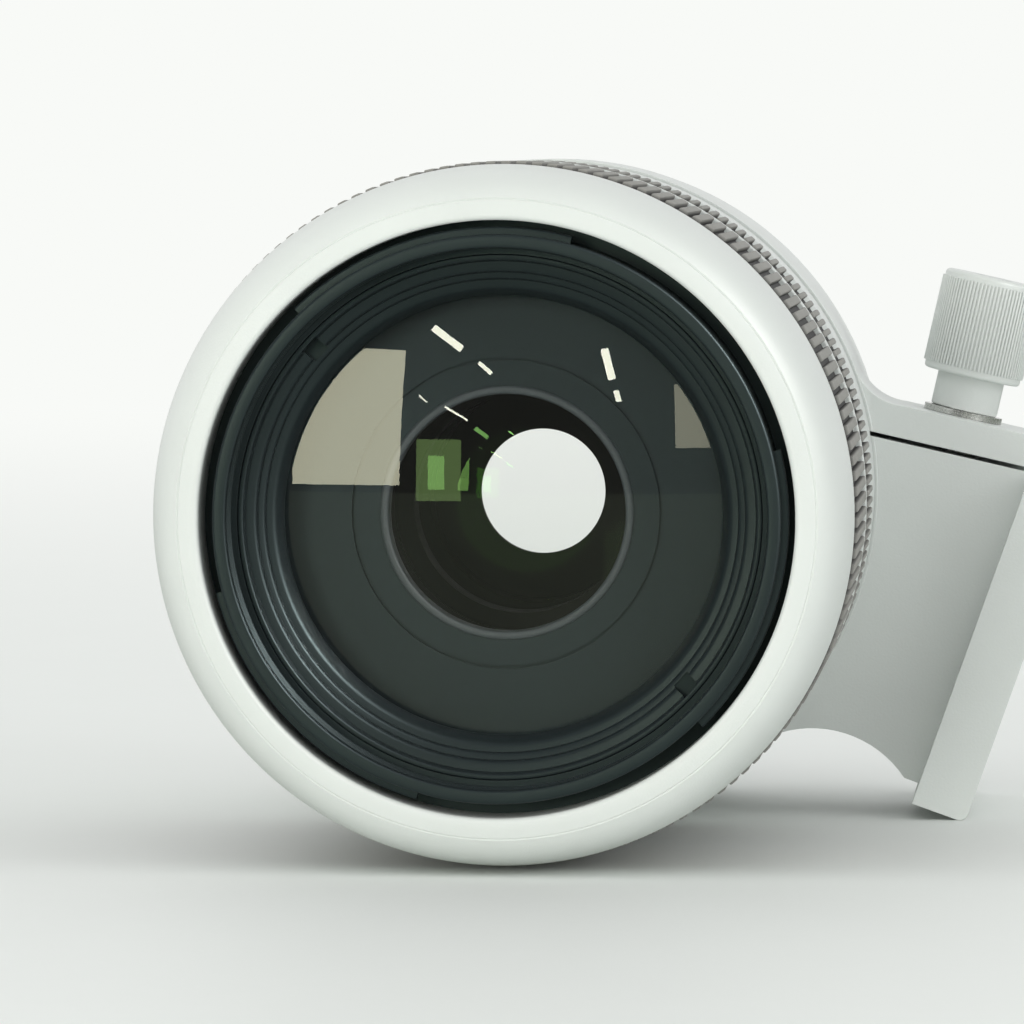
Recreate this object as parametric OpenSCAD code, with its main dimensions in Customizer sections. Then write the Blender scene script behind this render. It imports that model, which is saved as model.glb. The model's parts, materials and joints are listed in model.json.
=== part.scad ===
// Telephoto zoom lens with a clamped tripod collar, lying on its collar foot.
// The optical axis lies along Y, the front faces -Y and the origin is at the centre of the camera flange.
// Every sub-part is drawn with z along the axis, measured forward from the flange, then turned into place.

/* [Lengths along the axis] */
// Camera flange to the rear edge of the focus ring
rear_length = 67; // [62:0.5:74]
// Width of the focus ring
focus_width = 21; // [16:0.5:26]
// Width of the black ring between the two grip rings
middle_width = 5; // [3:0.5:8]
// Width of the zoom ring
zoom_width = 35; // [30:0.5:42]
// Open groove between the zoom ring and the front cowl
cowl_gap = 1; // [0.6:0.1:2]
// Length of the white front cowl
cowl_length = 14; // [12:0.5:18]
// Travel of the front barrel when zoomed in
zoom_travel = 48; // [36:1:50]
// Travel of the moving zoom group inside
group_travel = 12; // [6:0.5:12]
// Travel of the focusing group inside
focus_travel = 8; // [4:0.5:9]
// Depth of the filter thread
filter_depth = 6; // [4:0.5:7]

/* [Radii] */
// Outside of both rubber grips and of the collar ring
grip_radius = 44.4; // [44:0.1:47]
// Outside of the white rear barrel
barrel_radius = 44.2; // [43.8:0.1:44.6]
// Outside of the front cowl at its rear edge
cowl_radius = 44; // [43:0.1:45]
// Opening of the front cowl at the front rim
cowl_mouth = 37.1; // [37:0.1:38]
// Outside of the extending tube
extension_radius = 37.2; // [37:0.1:37.6]
// Wall of the filter thread
filter_radius = 33.6; // [33.2:0.1:34]
// Clear radius of the front glass
glass_radius = 27.6; // [26:0.1:28.2]
// Opening of the black mask behind the front glass
mask_radius = 15; // [14:0.1:17]
// Fine groove in the mask
mask_groove_radius = 19.5; // [18:0.1:23]
// Bore of the moving cells
cell_bore = 14.2; // [12:0.1:16]
// Opening of the iris housing
iris_radius = 8.4; // [7:0.1:9]
// Clear bore of the fixed rear cells
rear_bore = 17; // [16:0.1:18]
// Throat of the camera mount
throat_radius = 20.5; // [20:0.1:21]
// Spigot of the camera mount
spigot_radius = 25; // [24.6:0.1:25.4]
// Tips of the bayonet lugs
lug_radius = 27; // [26.4:0.1:27.2]
// Outside of the camera flange
flange_radius = 32.5; // [31.6:0.1:33]

/* [Walls and clearances] */
// Wall of the extending tube
extension_wall = 1.8; // [1.2:0.1:2]
// Wall of the cam tube
cam_wall = 1.6; // [1.2:0.1:1.8]
// Wall of the fixed guide barrel
guide_wall = 1.4; // [1.2:0.1:1.6]
// Wall of the zoom and focus sleeves
sleeve_wall = 1.2; // [1:0.1:1.5]
// Wall of the distance scale drum
drum_wall = 0.8; // [0.6:0.1:1]
// Wall of the white rear barrel
barrel_wall = 1.6; // [1.4:0.1:2]
// Rubber of the grips, ribs included
grip_thick = 1.35; // [1.2:0.05:1.8]
// Gap between tubes that slide or turn in each other
slide_gap = 0.4; // [0.3:0.05:0.5]
// Gap round pieces that are fixed in a seat
seat_gap = 0.05; // [0.02:0.01:0.1]
// Gap at the ends of a turning ring
end_gap = 0.4; // [0.3:0.05:0.6]
// Radial gap of a pin or rod in its bush
run_gap = 0.05; // [0.02:0.01:0.08]

/* [Grips] */
// Ribs round the zoom grip
zoom_ribs = 142; // [90:1:160]
// Ribs round the focus grip
focus_ribs = 190; // [120:1:200]
// Height of a grip rib
rib_height = 0.8; // [0.4:0.1:1.2]

/* [Zoom and focus drive] */
// Turn of the zoom ring
zoom_turn = 85; // [60:1:90]
// Radius of a cam roller
roller_radius = 2; // [1.5:0.1:2.4]
// Radius of the key between the zoom ring and the cam tube
key_radius = 2.5; // [2:0.1:3]
// Radius of a guide rod
rod_radius = 1.5; // [1:0.1:2]
// Distance of the guide rods from the axis
rod_circle = 29.5; // [28.5:0.1:30]
// Swing of an iris blade is round a pivot at this distance from the axis
blade_pivot_circle = 20; // [19.5:0.1:21]

/* [Tripod collar] */
// Width of the collar ring along the axis
collar_width = 25.4; // [22:0.2:28]
// Rear end of the collar ring from the flange
collar_rear = 27.3; // [26.6:0.1:29]
// Depth of the collar seat in the rear barrel
collar_seat_depth = 1.7; // [1.4:0.1:2]
// Radial gap between collar and seat
collar_gap = 0.3; // [0.2:0.05:0.4]
// Distance from the axis to the near side of the foot plate
foot_near = 60.8; // [58:0.2:66]
// Thickness of the foot plate
foot_thick = 7.6; // [6.6:0.1:10]
// Width of the foot plate across the axis
foot_width = 46.8; // [44:0.2:54]
// Length of the foot plate along the axis
foot_length = 45; // [40:0.5:52]
// Rounding of the foot plate's long edges
foot_round = 1.2; // [0.6:0.1:2]
// Lower edge of the arm below the collar's centre line
arm_half = 21; // [18:0.2:23]
// Width of the clamp slit
slit = 0.6; // [0.5:0.1:1]
// Thickness of the clamp ear
ear_thick = 4.6; // [4:0.1:6]
// Tilt of the clamp slit from the foot's direction
slit_tilt = 6.7; // [5:0.1:9]
// Radius of the strap's hinge knuckles
knuckle_radius = 3; // [2.6:0.1:3.2]
// Radius of the strap's hinge pin
hinge_pin_radius = 1.2; // [1:0.1:1.5]
// Radius of the clamp screw
screw_radius = 2.5; // [2:0.1:2.8]
// Radius of the clamp knob
knob_radius = 6.95; // [6:0.05:8]
// Height of the clamp knob's grip
knob_height = 13.9; // [11:0.1:16]
// Wall radius of the tripod thread
tripod_thread_radius = 2.55; // [2.4:0.05:2.6]

/* [Hidden] */
$fn = 96;
cut = 1;
BLADES = 8;

// Stations along the axis, forward from the flange
middle_z = rear_length + focus_width;
zoom_z = middle_z + middle_width;
zoom_end = zoom_z + zoom_width;
cowl_z = zoom_end + cowl_gap;
front_z = cowl_z + cowl_length;
filter_floor = front_z - filter_depth;
extension_front = cowl_z + 6;
cell_shoulder = cowl_z - 1;
glass_seat = cell_shoulder - 1.5;
glass_edge = 3.4;
mask_z = glass_seat - 1;
cell_rear = mask_z - 6.5;
guide_front = zoom_end - 1;
guide_rear = 11;
roller_z = guide_front - 25 - zoom_travel;
extension_rear = roller_z - 4;
cam_rear = extension_rear - 2;
cam_front = guide_front - 5;
roller_margin = roller_radius + 1.2;
key_z = roller_z + zoom_travel + roller_margin + key_radius + 3;
bulkhead_z = 20;
bulkhead = 4;
drum_end = bulkhead_z + 5.5;
motor_length = 9;
base_z = bulkhead_z + 6;
base_thick = 4;
lift_gap = 0.3;
frame_z = base_z + base_thick + lift_gap;
frame_thick = 3.7;
lift_z = frame_z + frame_thick + lift_gap;
lift_lip = 1.7;
lift_glass_seat = lift_z + lift_lip;
lift_length = 5.7;
plate_z = 52;
plate = 4;
iris_z = plate_z + plate;
iris_height = 8.5;
blade_thick = 0.35;
blade_pitch = 0.55;
blade_clear = 1.2;
blade_width = 6.2;
blade_foot = 1.6;
blade_pin = 0.7;
blade_floor = 1.7;
iris_cover = 1.5;
focus_group_z = iris_z + iris_height + 4.5;
zoom_group_z = focus_group_z + 12 + focus_travel + 3.5;
cell_length = 12;
boss_length = 8;

// Radii of the nested tubes, from the inside out
extension_in = extension_radius - extension_wall;
cam_in = extension_radius + slide_gap;
cam_out = cam_in + cam_wall;
guide_in = cam_out + slide_gap;
guide_out = guide_in + guide_wall;
sleeve_in = guide_out + slide_gap;
sleeve_out = grip_radius - grip_thick - seat_gap;
sleeve_land = 4;
land_radius = guide_out + seat_gap;
drum_room = barrel_radius - barrel_wall;
drum_out = drum_room - slide_gap;
drum_in = drum_out - drum_wall;
inner_out = extension_in - 2 * slide_gap;
inner_wall = 2;
inner_in = inner_out - inner_wall;
seat_radius = barrel_radius - collar_seat_depth;
collar_in = seat_radius + collar_gap;
collar_wall = 1.8;
collar_out = collar_in + collar_wall;
seat_wall = 1.2;
barrel_relief = seat_radius - seat_wall;
barrel_land = 4;
cell_radius = extension_in - seat_gap;
front_glass_radius = glass_radius + 1.6;
filter_lip = 0.75;
filter_inner = filter_radius - filter_lip;
glass_dome = 3;
glass_back = 0.3;
rear_cell_back = 8.4;
rear_glass_seat = rear_cell_back + 1.6;
rear_glass_radius = rear_bore + 3;
frame_radius = inner_in - 2.6;
lift_radius = inner_in - 4.6;
roller_angles = [90, 210, 330];
rod_angles = [30, 150, 270];
key_angle = 60;

// Camera mount
mount_plate = 3;
mount_lug = 1.7;
mount_reach = 4;
mount_seat = spigot_radius + 1;
mount_screw_circle = (flange_radius + lug_radius) / 2 + 0.2;
mount_screw_angles = [45, 135, 225, 315];
contact_angle = 270;
contact_half = 32;
contact_depth = 2.9;
contact_height = 0.4;

// Distance window and switch panel on the rear barrel
window_z = 13;
window_length = 10;
window_half = 16;
panel_z = 10.5;
panel_length = 15;
panel_half = 11;
panel_base = barrel_radius - 1.3;
panel_thick = 2.3;
switch_pitch = 7;
switch_travel = 3;
switch_size = [2.2, 3, 4.4];
switch_gap = 0.3;

// Tripod collar, drawn with x towards the foot and y across it
collar_front = collar_rear + collar_width;
collar_mid = collar_rear + collar_width / 2;
foot_far = foot_near + foot_thick;
foot_rear = collar_front + 5.5 - foot_length;
arm_length = collar_width - 4;
arm_front = collar_front - 0.4;
arm_rear = arm_front - arm_length;
corner_x = foot_far - foot_round;
corner_y = foot_width / 2 - foot_round;
// The foot's lower edge rests on the same table as the ring, which sets the collar's angle
collar_angle = asin((collar_out - foot_round) / norm([corner_x, corner_y])) - atan2(corner_y, corner_x);
// Point on the slit under the clamp knob, and the way across the slit
clamp_x = foot_near - 10.8;
clamp_y = arm_half + 1.9;
along_slit = [cos(slit_tilt), sin(slit_tilt)];
across_slit = [-sin(slit_tilt), cos(slit_tilt)];
axis_along = -(clamp_x * along_slit[0] + clamp_y * along_slit[1]);
axis_across = -(clamp_x * across_slit[0] + clamp_y * across_slit[1]);
hinge_circle = collar_out + 1.9;
hinge_along = axis_along - sqrt(hinge_circle * hinge_circle - axis_across * axis_across);
knuckle_gap = 0.3;
knuckle_side = collar_width * 0.26;
hinge_rear = collar_rear + 0.4;
hinge_front = collar_front - 0.4;
ear_end = 11;
ear_fillet = 8;
screw_depth = 7;
screw_room = 0.55;
washer_radius = 5.4;
washer_thick = 0.8;
neck_radius = 4.6;
neck_height = 4.7;
knob_ribs = 72;
insert_radius = 5;

// Colours of the finishes
white_paint = [0.85, 0.86, 0.82];
black_paint = [0.09, 0.1, 0.11];
dark_metal = [0.16, 0.17, 0.18];
rubber = [0.2, 0.2, 0.19];
glass = [0.5, 0.6, 0.55, 0.4];
steel = [0.7, 0.71, 0.72];
brass = [0.76, 0.62, 0.33];
board_green = [0.08, 0.3, 0.16];

// Turns a piece drawn along z so that z points forward along -Y
module on_axis() {
    rotate([90, 0, 0]) children();
}

// Turns a piece drawn in the collar's own directions to the angle at which it rests
module on_collar() {
    on_axis() rotate([0, 0, -collar_angle]) children();
}

// Places a piece drawn along the slit, with y across it, at the clamp point
module at_slit() {
    on_collar() translate([clamp_x, clamp_y, 0]) rotate([0, 0, slit_tilt]) children();
}

module tube(outer, inner, from, to) {
    translate([0, 0, from]) difference() {
        cylinder(r = outer, h = to - from);
        translate([0, 0, -cut]) cylinder(r = inner, h = to - from + 2 * cut);
    }
}

// Ring section between two angles
module sector(outer, inner, from, to, start, turn) {
    translate([0, 0, from]) rotate([0, 0, start]) rotate_extrude(angle = turn)
        translate([inner, 0]) square([outer - inner, to - from]);
}

module radial_pin(radius, from, to, z) {
    translate([from, 0, z]) rotate([0, 90, 0]) cylinder(r = radius, h = to - from);
}

// Outline of a ring with raised ribs
function rib_outline(count, low, high, share) = [
    for (i = [0:count - 1], corner = [[0, low], [0.08, high], [share - 0.08, high], [share, low]])
        let (a = 360 / count * (i + corner[0])) corner[1] * [cos(a), sin(a)]
];

module ribbed(count, outer, depth, share, from, to) {
    translate([0, 0, from]) linear_extrude(to - from)
        polygon(rib_outline(count, outer - depth, outer, share));
}

// Height of a shallow dome above its edge, at a distance from the axis
function dome_height(dome, radius, at) =
    let (ball = (radius * radius + dome * dome) / (2 * dome)) sqrt(ball * ball - at * at) - ball + dome;

// Height at which the rim of a lens lies when its domed back rests on a lip
function rim_height(radius, lip, seat, rear_dome) = seat + dome_height(rear_dome, radius, lip) + seat_gap;

// Lens with a domed front and a domed back, resting on a lip
module element(radius, lip, seat, edge, front_dome, rear_dome) {
    steps = 12;
    from = rim_height(radius, lip, seat, rear_dome);
    rotate_extrude() polygon(concat(
        [for (i = [0:steps]) let (r = radius * i / steps) [r, from - dome_height(rear_dome, radius, r)]],
        [for (i = [steps:-1:0]) let (r = radius * i / steps)
            [r, from + edge + dome_height(front_dome, radius, r)]]
    ));
}

// White casing behind the focus ring, with the collar's seat and the bed of the switch panel
module rear_barrel() {
    color(white_paint) on_axis() difference() {
        union() {
            rotate_extrude() polygon([
                [mount_seat, mount_plate], [flange_radius, mount_plate],
                [flange_radius + 1.1, mount_plate + 0.6],
                [barrel_radius, panel_z - 0.5], [barrel_radius, collar_rear - collar_gap],
                [seat_radius, collar_rear - collar_gap], [seat_radius, collar_front + collar_gap],
                [barrel_radius, collar_front + collar_gap], [barrel_radius, rear_length - 0.6],
                [barrel_radius - 0.6, rear_length], [land_radius, rear_length],
                [land_radius, rear_length - barrel_land],
                [barrel_relief, rear_length - barrel_land], [barrel_relief, drum_end + barrel_land],
                [land_radius, drum_end + barrel_land], [land_radius, drum_end], [drum_room, drum_end],
                [drum_room, guide_rear - 0.4], [flange_radius + 1.5, 6],
                [mount_seat, 6]
            ]);
            difference() {
                translate([drum_in - 4, -panel_half, panel_z])
                    cube([panel_base - drum_in + 4, 2 * panel_half, panel_length]);
                translate([0, 0, panel_z - cut]) cylinder(r = drum_room, h = panel_length + 2 * cut);
            }
        }
        translate([panel_base, -panel_half, panel_z]) cube([panel_thick, 2 * panel_half, panel_length]);
        sector(barrel_radius + cut, drum_room - cut, window_z, window_z + window_length,
            90 - window_half, 2 * window_half);
        for (a = mount_screw_angles) rotate([0, 0, a]) translate([mount_screw_circle, 0, mount_plate - cut])
            cylinder(r = 1, h = 3);
    }
}

// Fixed tube with straight slots for the rollers and a long slot for the zoom key
module guide_barrel() {
    color(dark_metal) on_axis() difference() {
        tube(guide_out, guide_in, guide_rear, guide_front);
        for (a = roller_angles) rotate([0, 0, a])
            translate([guide_in - cut, -roller_radius - 0.3, roller_z - roller_margin])
                cube([guide_wall + 2 * cut, 2 * roller_radius + 0.6, zoom_travel + 2 * roller_margin]);
        sector(guide_out + cut, guide_in - cut, key_z - key_radius - 0.7, key_z + key_radius + 0.7,
            key_angle - 6, zoom_turn + 12);
    }
}

module middle_ring() {
    color(black_paint) on_axis() tube(guide_out + 1, guide_out + seat_gap, middle_z, zoom_z);
}

// Fixed inner tube that carries the stabiliser, the iris and the guide rods
module inner_barrel() {
    color(black_paint) on_axis() difference() {
        union() {
            tube(inner_out, inner_in, bulkhead_z, iris_z);
            tube(guide_in - seat_gap, inner_in, bulkhead_z, bulkhead_z + bulkhead);
            tube(inner_in + cut / 2, rear_bore, plate_z, iris_z);
        }
        for (a = rod_angles) rotate([0, 0, a]) translate([rod_circle, 0, plate_z + 1])
            cylinder(r = rod_radius + seat_gap, h = plate);
    }
}

module guide_rods() {
    color(steel) on_axis() for (a = rod_angles) rotate([0, 0, a]) translate([rod_circle, 0, plate_z + 1])
        cylinder(r = rod_radius, h = cell_rear - 2 - plate_z - 1);
}

// Shallow can with the round stop that limits the light
module iris_housing() {
    color(black_paint) on_axis() {
        tube(blade_pivot_circle + 6, blade_pivot_circle + 4, iris_z, iris_z + iris_height);
        tube(blade_pivot_circle + 4 + cut / 2, iris_radius, iris_z + iris_height - iris_cover,
            iris_z + iris_height);
    }
}

module iris_drive_ring() {
    color(dark_metal) on_axis()
        tube(blade_pivot_circle + 3.7, rear_bore, iris_z + slide_gap, iris_z + slide_gap + 0.8);
}

// One blade of the iris with its pivot, each in a layer of its own
module iris_blade(index) {
    layer = iris_z + blade_floor + (index - 1) * blade_pitch;
    inner = iris_radius + blade_clear;
    color(dark_metal) on_axis() rotate([0, 0, index * 360 / BLADES]) {
        sector(inner + blade_width, inner, layer, layer + blade_thick, -5, 80);
        translate([inner + blade_width / 2, -blade_foot, layer])
            cube([blade_pivot_circle - inner - blade_width / 2, 2 * blade_foot, blade_thick]);
        translate([blade_pivot_circle, 0, layer]) {
            cylinder(r = blade_foot, h = blade_thick);
            cylinder(r = blade_pin, h = iris_z + iris_height - iris_cover - 0.1 - layer);
        }
    }
}

module stabiliser_base() {
    color(board_green) on_axis()
        tube(inner_in - seat_gap, rear_bore, base_z, base_z + base_thick);
}

module stabiliser_frame() {
    color(dark_metal) on_axis()
        tube(frame_radius, rear_bore, frame_z, frame_z + frame_thick);
}

module stabiliser_cell() {
    color(black_paint) on_axis() difference() {
        tube(lift_radius, rear_bore, lift_z, lift_z + lift_length);
        translate([0, 0, lift_glass_seat]) cylinder(r = rear_glass_radius + seat_gap, h = lift_length);
    }
}

module stabiliser_element() {
    color(glass) on_axis() element(rear_glass_radius, rear_bore, lift_glass_seat, 2.4, 1.4, 0.8);
}

module rear_cell() {
    color(black_paint) on_axis() difference() {
        union() {
            tube(rear_glass_radius + 3, rear_bore, rear_cell_back, bulkhead_z);
            tube(inner_out + 1.4, rear_bore, bulkhead_z - 3, bulkhead_z);
        }
        translate([0, 0, rear_glass_seat]) cylinder(r = rear_glass_radius + seat_gap, h = bulkhead_z);
    }
}

module rear_element() {
    color(glass) on_axis() element(rear_glass_radius, rear_bore, rear_glass_seat, 3.2, 1.6, 1.2);
}

// Metal bayonet with three lugs
module bayonet_mount() {
    color(steel) on_axis() difference() {
        union() {
            cylinder(r = flange_radius, h = mount_plate);
            translate([0, 0, mount_plate - cut]) cylinder(r = mount_seat - seat_gap, h = cut + 2.6);
            translate([0, 0, -mount_reach]) cylinder(r = spigot_radius, h = mount_reach + cut);
            for (a = [0, 120, 240])
                sector(lug_radius, spigot_radius - cut, -mount_reach, mount_lug - mount_reach, a + 10, 56);
        }
        translate([0, 0, -mount_reach - cut]) cylinder(r = throat_radius, h = mount_reach + mount_plate + 5);
        tube(lug_radius + 0.6, spigot_radius, -cut, 0.3);
        sector(throat_radius + contact_depth, throat_radius - cut, -mount_reach - cut, 0,
            contact_angle - contact_half, 2 * contact_half);
        for (a = mount_screw_angles) rotate([0, 0, a]) translate([mount_screw_circle, 0, -cut]) {
            cylinder(r = 1.95, h = cut + 1.3);
            cylinder(r = 1.05, h = mount_plate + 2 * cut);
        }
        rotate([0, 0, 5]) translate([mount_screw_circle, 0, -cut]) cylinder(r = 1.6, h = cut + 2);
    }
}

module mount_screws() {
    color(steel) on_axis() for (a = mount_screw_angles) rotate([0, 0, a])
        translate([mount_screw_circle, 0, 0.15]) difference() {
            union() {
                cylinder(r = 1.9, h = 1.15);
                cylinder(r = 0.95, h = mount_plate + 1.5);
            }
            for (turn = [0, 90]) rotate([0, 0, turn]) translate([-1.1, -0.2, -cut])
                cube([2.2, 0.4, cut + 0.5]);
        }
}

module mount_gasket() {
    color(rubber) on_axis() tube(flange_radius + 1, flange_radius + seat_gap, 0.4, mount_plate);
}

module contact_block() {
    color(black_paint) on_axis() sector(throat_radius + contact_depth - seat_gap, throat_radius + seat_gap,
        -mount_reach + contact_height, 0, contact_angle - contact_half + 0.2, 2 * contact_half - 0.4);
}

module contact_pins() {
    color(brass) on_axis() for (i = [-4:4]) rotate([0, 0, contact_angle + i * 6.4])
        translate([throat_radius + contact_depth / 2, 0, -mount_reach])
            cylinder(r = 0.75, h = contact_height);
}

module circuit_board() {
    color(board_green) on_axis() tube(flange_radius + 0.6, mount_seat + 1, 6, 7.4);
}

module focus_motor() {
    color(brass) on_axis() tube(guide_in - seat_gap, inner_out + seat_gap,
        bulkhead_z + bulkhead, bulkhead_z + bulkhead + motor_length);
}

module distance_window() {
    color(glass) on_axis() sector(barrel_radius - 0.2, drum_room + 0.3, window_z + seat_gap,
        window_z + window_length - seat_gap, 90 - window_half + 0.1, 2 * window_half - 0.2);
}

module switch_panel() {
    color(black_paint) on_axis() difference() {
        translate([panel_base, -panel_half + seat_gap, panel_z + seat_gap])
            cube([panel_thick, 2 * (panel_half - seat_gap), panel_length - 2 * seat_gap]);
        for (row = [-1:1]) translate([panel_base + 0.8,
            row * switch_pitch - switch_size[1] / 2 - switch_gap, switch_z() - switch_gap])
            cube([panel_thick, switch_size[1] + 2 * switch_gap,
                switch_size[2] + switch_travel + 2 * switch_gap]);
    }
}

function switch_z() = panel_z + (panel_length - switch_size[2] - switch_travel) / 2;

// Thumb piece of a slide switch in the given row of the panel
module slide_switch(row) {
    color(dark_metal) on_axis() translate([panel_base + 0.8 + switch_gap / 2,
        row * switch_pitch - switch_size[1] / 2, switch_z()]) cube(switch_size);
}

// White flared front ring with the pocket that clears the guide barrel
module front_cowl() {
    flare_in = cowl_mouth + 2.9;
    flare_out = cowl_radius - 0.3;
    flare_front = front_z - 1;
    flare_rear = cowl_z + 3.2;
    pocket = cowl_radius - 2.6;
    skin = flare_rear + (flare_out - pocket) * (flare_front - flare_rear) / (flare_out - flare_in);
    color(white_paint) on_axis() rotate_extrude() polygon([
        [cowl_mouth, front_z - 0.5], [cowl_mouth + 0.5, front_z], [cowl_mouth + 1.6, front_z],
        [flare_in, flare_front], [flare_out, flare_rear], [cowl_radius, cowl_z + 2],
        [cowl_radius, cowl_z + 0.4], [cowl_radius - 0.4, cowl_z], [cowl_radius - 1.6, cowl_z],
        [pocket, skin - 3.2], [extension_radius + 1.9, cowl_z + 8],
        [extension_radius + 1.6, cowl_z + 0.4], [extension_radius + seat_gap, cowl_z + 0.4],
        [extension_radius + seat_gap, extension_front], [cowl_mouth, extension_front]
    ]);
}

// Black ring with the filter thread and the lugs of the hood bayonet
module filter_ring() {
    color(black_paint) on_axis() {
        rotate_extrude() polygon([
            [filter_inner, cell_shoulder], [cell_radius, cell_shoulder], [cell_radius, front_z - 0.5],
            [cell_radius - 0.4, front_z - 0.1], [filter_radius + 0.5, front_z - 0.1],
            [filter_radius, front_z - 0.5], [filter_radius, filter_floor], [filter_inner, filter_floor]
        ]);
        for (a = [[-45, 59], [-165, 59], [75, 59]])
            sector(cowl_mouth - 0.8, cell_radius - cut / 2, front_z - 3.4, front_z - 1.6, a[0], a[1]);
    }
}

// Stepped black ring that holds the front glass, with two spanner notches
module front_retaining_ring() {
    top = filter_floor;
    rim = rim_height(front_glass_radius, glass_radius, glass_seat, glass_back) + glass_edge;
    foot = rim + dome_height(glass_dome, front_glass_radius, glass_radius) + seat_gap;
    outer = filter_inner - seat_gap;
    color(black_paint) on_axis() difference() {
        rotate_extrude() polygon([
            [outer, foot], [outer, top], [outer - 0.7, top], [outer - 0.9, top - 1.6],
            [outer - 2.2, top - 1.8], [outer - 2.3, top - 3], [outer - 3.1, top - 3.2],
            [outer - 3.2, top - 4], [outer - 4.2, top - 4.2],
            [glass_radius, foot + 0.7], [glass_radius, foot]
        ]);
        for (a = [138, 318]) rotate([0, 0, a]) translate([outer - 2.6, -1.2, top - 3.4])
            cube([2, 2.4, 4]);
    }
}

module front_element() {
    color(glass) on_axis()
        element(front_glass_radius, glass_radius, glass_seat, glass_edge, glass_dome, glass_back);
}

// Cell of the front glass with the black mask behind it
module front_cell() {
    color(black_paint) on_axis() difference() {
        union() {
            tube(cell_radius, front_glass_radius + seat_gap, cell_rear, cell_shoulder);
            tube(filter_inner - 0.4, front_glass_radius + seat_gap, cell_rear, glass_seat + glass_edge);
            tube(front_glass_radius + cut, glass_radius, glass_seat - 1.6, glass_seat);
            tube(front_glass_radius + cut, mask_radius, mask_z - 2.2, mask_z - 0.4);
            tube(mask_radius + 1.1, mask_radius, mask_z - 3.4, mask_z);
        }
        tube(mask_groove_radius + 0.2, mask_groove_radius - 0.2, mask_z - 0.8, mask_z);
    }
}

module extension_tube() {
    color(white_paint) on_axis() difference() {
        tube(extension_radius, extension_in, extension_rear, extension_front);
        for (a = roller_angles) rotate([0, 0, a])
            radial_pin(1.2, extension_in - cut, extension_radius + cut, roller_z);
    }
}

// Rollers on their studs, running in the cam slots and the straight slots
module cam_rollers() {
    color(brass) on_axis() for (a = roller_angles) rotate([0, 0, a]) {
        radial_pin(1.2 - seat_gap, extension_in, extension_radius + cut, roller_z);
        radial_pin(roller_radius, extension_radius + 0.1, guide_out - 0.2, roller_z);
    }
}

// Thin sleeve under a grip, running on a land at each end
module sleeve(from, to) {
    difference() {
        tube(sleeve_out, sleeve_in, from, to);
        translate([0, 0, from + sleeve_land])
            cylinder(r = sleeve_out - sleeve_wall, h = to - from - 2 * sleeve_land);
    }
}

module zoom_sleeve() {
    color(white_paint) on_axis() difference() {
        union() {
            sleeve(zoom_z + end_gap, zoom_end);
            tube(grip_radius - 0.7, sleeve_in, zoom_z + end_gap, zoom_z + end_gap + 1.2);
        }
        rotate([0, 0, key_angle]) radial_pin(key_radius + seat_gap, sleeve_in - cut, sleeve_out + cut, key_z);
    }
}

module zoom_grip() {
    color(rubber) on_axis() grip(zoom_ribs, 0.62, zoom_z + end_gap + 1.2, zoom_end - 0.3);
}

module focus_sleeve() {
    color(dark_metal) on_axis() sleeve(rear_length + end_gap, middle_z - end_gap);
}

module focus_grip() {
    color(rubber) on_axis() grip(focus_ribs, 0.55, rear_length + end_gap + 0.4, middle_z - end_gap - 0.4);
}

// Rubber sleeve with ribs between two plain lips
module grip(count, share, from, to) {
    lip = 1.2;
    rib_root = 0.2;
    difference() {
        union() {
            ribbed(count, grip_radius, rib_height + rib_root, share, from + lip, to - lip);
            translate([0, 0, from]) cylinder(r = grip_radius - rib_height, h = to - from);
        }
        translate([0, 0, from - cut]) cylinder(r = sleeve_out + seat_gap, h = to - from + 2 * cut);
    }
}

// Turning tube whose slanted slots push the rollers forward
module cam_tube() {
    slot_half = roller_radius + 0.4;
    slope = atan2(zoom_travel, zoom_turn * PI / 180 * cam_out);
    half_angle = slot_half / sin(slope) / cam_out * 180 / PI;
    rise = zoom_travel + 2 * roller_margin;
    lead = zoom_turn / zoom_travel;
    reach = cam_out + 3;
    color(steel) on_axis() difference() {
        tube(cam_out, cam_in, cam_rear, cam_front);
        for (a = roller_angles) translate([0, 0, roller_z - roller_margin])
            rotate([0, 0, a + roller_margin * lead])
                linear_extrude(rise, twist = rise * lead, slices = 18, segments = 4) polygon([
                    (cam_in - 3) * [cos(half_angle), -sin(half_angle)],
                    reach * [cos(half_angle), -sin(half_angle)],
                    reach * [cos(half_angle), sin(half_angle)],
                    (cam_in - 3) * [cos(half_angle), sin(half_angle)]
                ]);
        rotate([0, 0, key_angle]) radial_pin(key_radius + seat_gap, cam_in - cut, cam_out + cut, key_z);
    }
}

module zoom_key() {
    color(steel) on_axis() rotate([0, 0, key_angle])
        radial_pin(key_radius, cam_in + 0.1, sleeve_out - 0.1, key_z);
}

// Sliding cell carried on the guide rods by three bushed bosses
module carriage(from, length, bore, glass_r) {
    difference() {
        union() {
            tube(glass_r + 3, bore, from, from + length);
            for (a = rod_angles) rotate([0, 0, a]) {
                translate([rod_circle, 0, from]) cylinder(r = rod_radius + 1.7, h = boss_length);
                translate([glass_r + 2, -1.5, from]) cube([rod_circle - glass_r - 2, 3, boss_length]);
            }
        }
        for (a = rod_angles) rotate([0, 0, a]) translate([rod_circle, 0, from - cut])
            cylinder(r = rod_radius + run_gap, h = length + 2 * cut);
        translate([0, 0, from + length - 5]) cylinder(r = glass_r + seat_gap, h = 5 + cut);
    }
}

module variator_cell() {
    color(black_paint) on_axis() carriage(zoom_group_z, cell_length, cell_bore, cell_bore + 2);
}

module variator_element() {
    color(glass) on_axis() element(cell_bore + 2, cell_bore, zoom_group_z + cell_length - 5, 3.4, 1.2, 0.6);
}

module focus_cell() {
    color(black_paint) on_axis() carriage(focus_group_z, cell_length, cell_bore, cell_bore + 2);
}

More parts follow.
